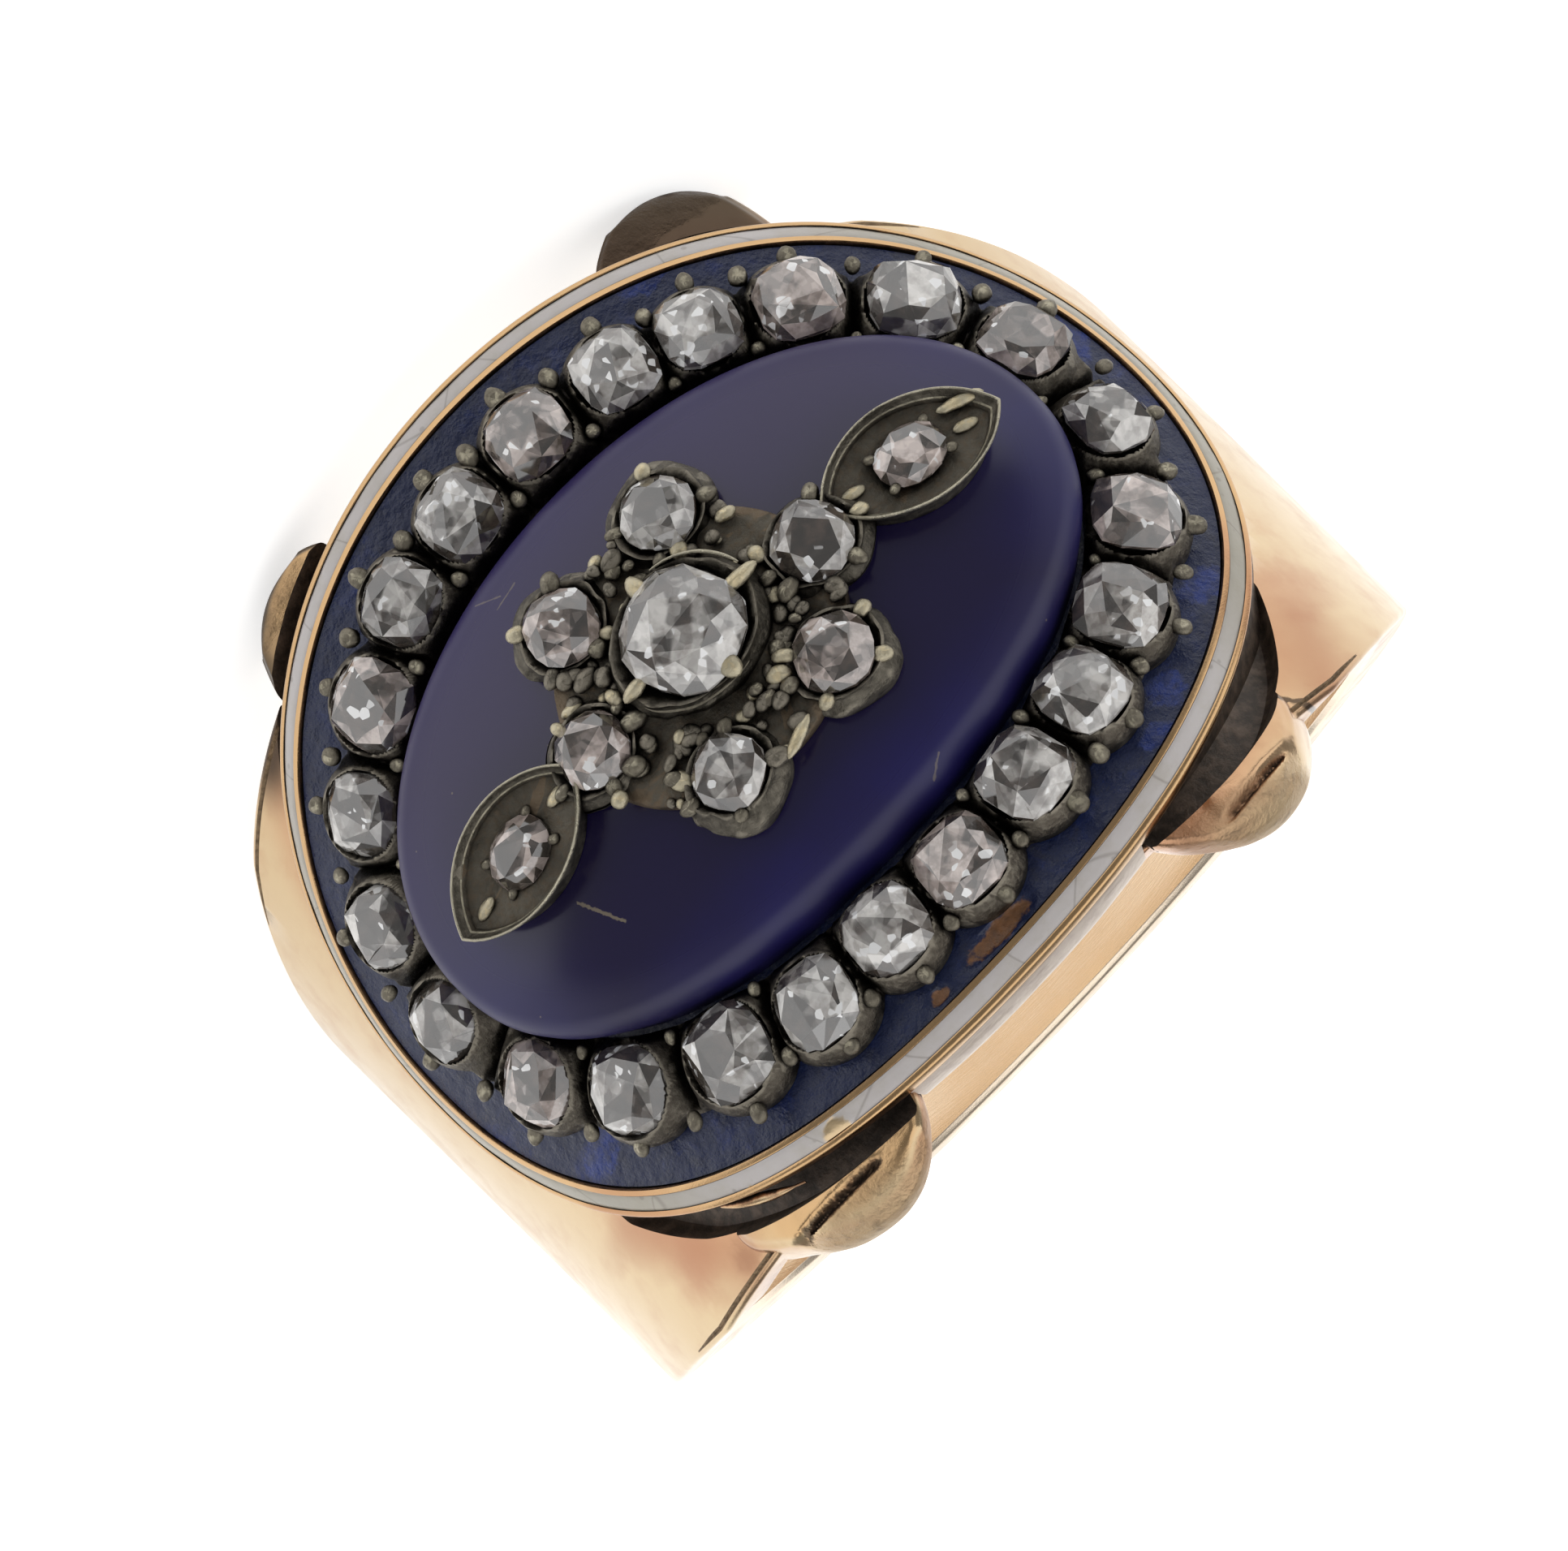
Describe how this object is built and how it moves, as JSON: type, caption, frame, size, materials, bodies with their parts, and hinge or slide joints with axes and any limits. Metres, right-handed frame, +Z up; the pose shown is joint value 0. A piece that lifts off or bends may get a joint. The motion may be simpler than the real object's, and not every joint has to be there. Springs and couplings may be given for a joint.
{
  "type": "enamel ring",
  "caption": "Gold finger ring with a bent oval head: dark blue enamel in a white enamel rim, a domed plaque bordered with small diamonds, and a diamond flower with two leaves.",
  "frame": {"origin": "on the surface that the ring lies on, under the middle of its bounding box", "axes": "+Z up from the surface, -Y towards the side where the head is, X along the length of the head"},
  "size_m": [0.0207, 0.0234, 0.0172],
  "materials": {
    "gold": "worn polished pale gold",
    "white_enamel": "opaque greyish white vitreous enamel, chipped",
    "blue_enamel": "dark blue vitreous enamel, worn",
    "plaque_glass": "polished deep blue glass enamel",
    "dark_silver": "dark tarnished silver",
    "diamond": "old cut, polished"
  },
  "bodies": {
    "root": {"gold_mount": "gold", "white_enamel": "white_enamel", "blue_enamel": "blue_enamel", "plaque": "plaque_glass", "border_setting": "dark_silver", "flower_setting": "dark_silver", "middle_stone": "diamond", "petal_stone_1": "diamond", "petal_stone_2": "diamond", "petal_stone_3": "diamond", "petal_stone_4": "diamond", "petal_stone_5": "diamond", "petal_stone_6": "diamond", "leaf_stone_1": "diamond", "leaf_stone_2": "diamond", "border_stone_01": "diamond", "border_stone_02": "diamond", "border_stone_03": "diamond", "border_stone_04": "diamond", "border_stone_05": "diamond", "border_stone_06": "diamond", "border_stone_07": "diamond", "border_stone_08": "diamond", "border_stone_09": "diamond", "border_stone_10": "diamond", "border_stone_11": "diamond", "border_stone_12": "diamond", "border_stone_13": "diamond", "border_stone_14": "diamond", "border_stone_15": "diamond", "border_stone_16": "diamond", "border_stone_17": "diamond", "border_stone_18": "diamond", "border_stone_19": "diamond", "border_stone_20": "diamond", "border_stone_21": "diamond", "border_stone_22": "diamond", "border_stone_23": "diamond"}
  },
  "joints": []
}
